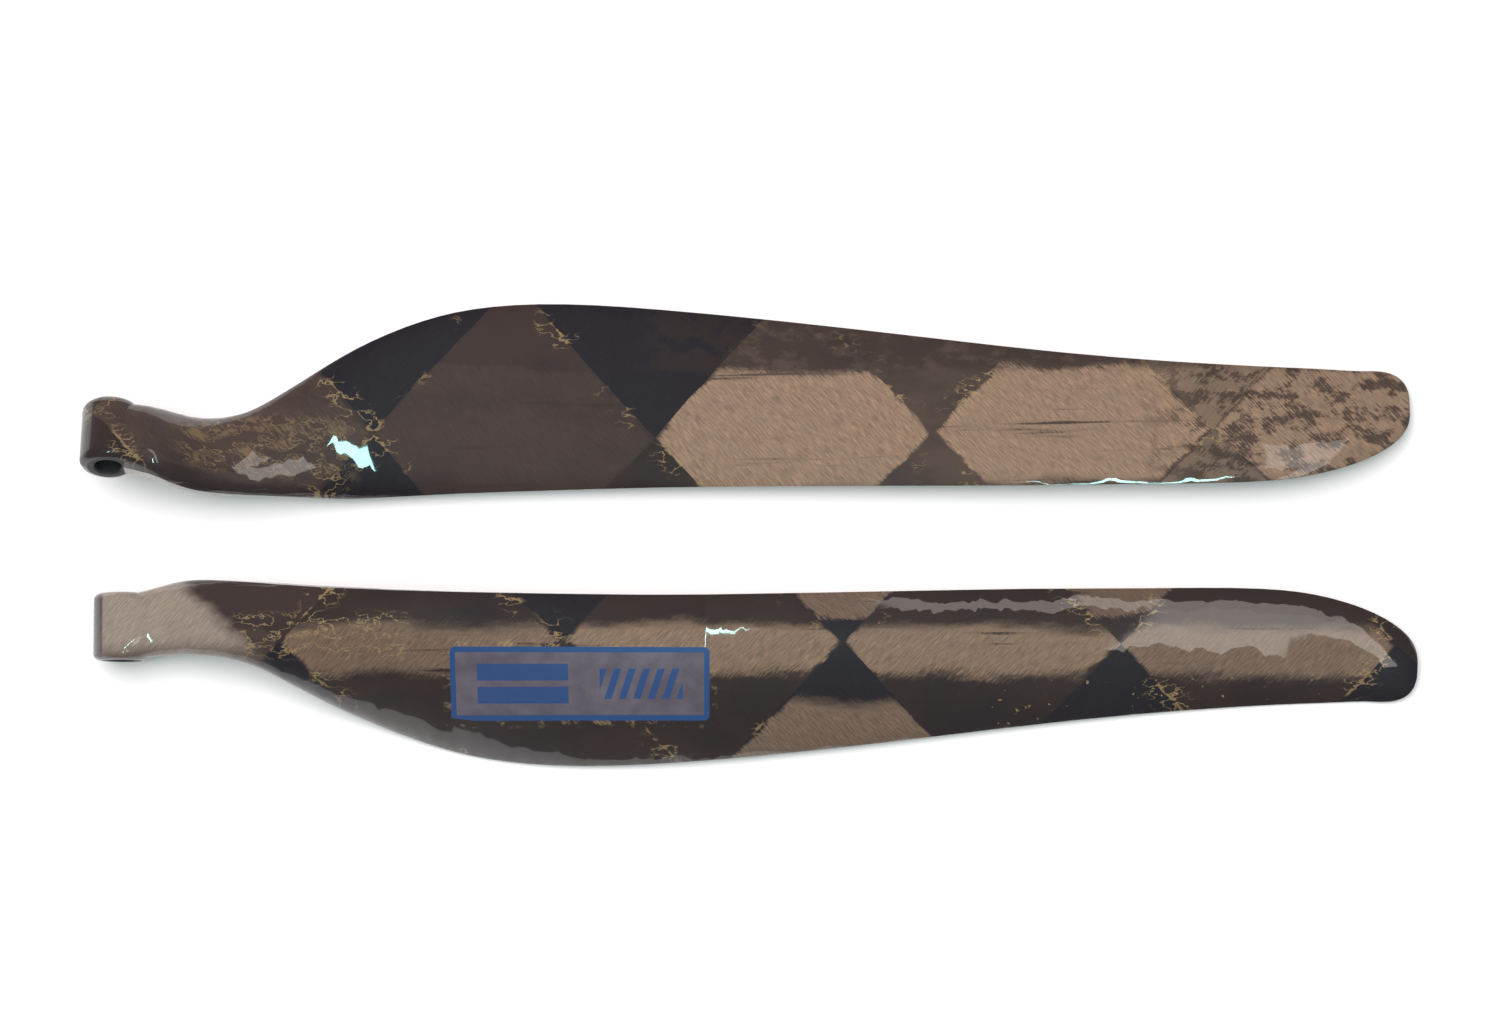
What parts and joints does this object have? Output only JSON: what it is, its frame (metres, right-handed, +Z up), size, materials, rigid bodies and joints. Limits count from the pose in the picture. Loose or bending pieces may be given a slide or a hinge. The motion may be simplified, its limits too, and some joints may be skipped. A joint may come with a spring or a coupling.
{
  "type": "folding propeller blade pair",
  "caption": "Pair of loose carbon-fibre folding-propeller blades with hinge-pin bores at the root, laid side by side, front face up and back face up.",
  "frame": {"origin": "middle of the footprint, on the surface that the two blades lie on", "axes": "+X along the blades from root to tip, +Y from the front-up blade to the back-up blade, +Z up"},
  "size_m": [0.148, 0.0514, 0.0119],
  "materials": {
    "carbon_skin": "spread-tow carbon cloth under a high-gloss clear coat",
    "carbon_roving": "unidirectional carbon roving in epoxy, satin",
    "moulded_compound": "chopped-fibre epoxy compound, satin where drilled",
    "edge_filler": "fibre-filled epoxy, matt",
    "label_film": "clear decal film with a printed border, under the clear coat"
  },
  "bodies": {
    "blade_a": {"blade_a_front_skin": "carbon_skin", "blade_a_back_skin": "carbon_skin", "blade_a_roving_loop": "carbon_roving", "blade_a_pivot_core": "moulded_compound", "blade_a_leading_filler": "edge_filler", "blade_a_trailing_filler": "edge_filler", "blade_a_label": "label_film"},
    "blade_b": {"blade_b_front_skin": "carbon_skin", "blade_b_back_skin": "carbon_skin", "blade_b_roving_loop": "carbon_roving", "blade_b_pivot_core": "moulded_compound", "blade_b_leading_filler": "edge_filler", "blade_b_trailing_filler": "edge_filler", "blade_b_label": "label_film"}
  },
  "joints": [
    {"name": "fold_b", "type": "hinge", "parent": "blade_a", "child": "blade_b", "pos_m": [-0.07085, 0.01083, 0.00768], "axis": [0.0104, -0.888, 0.4597], "range_deg": [0, 95]}
  ]
}
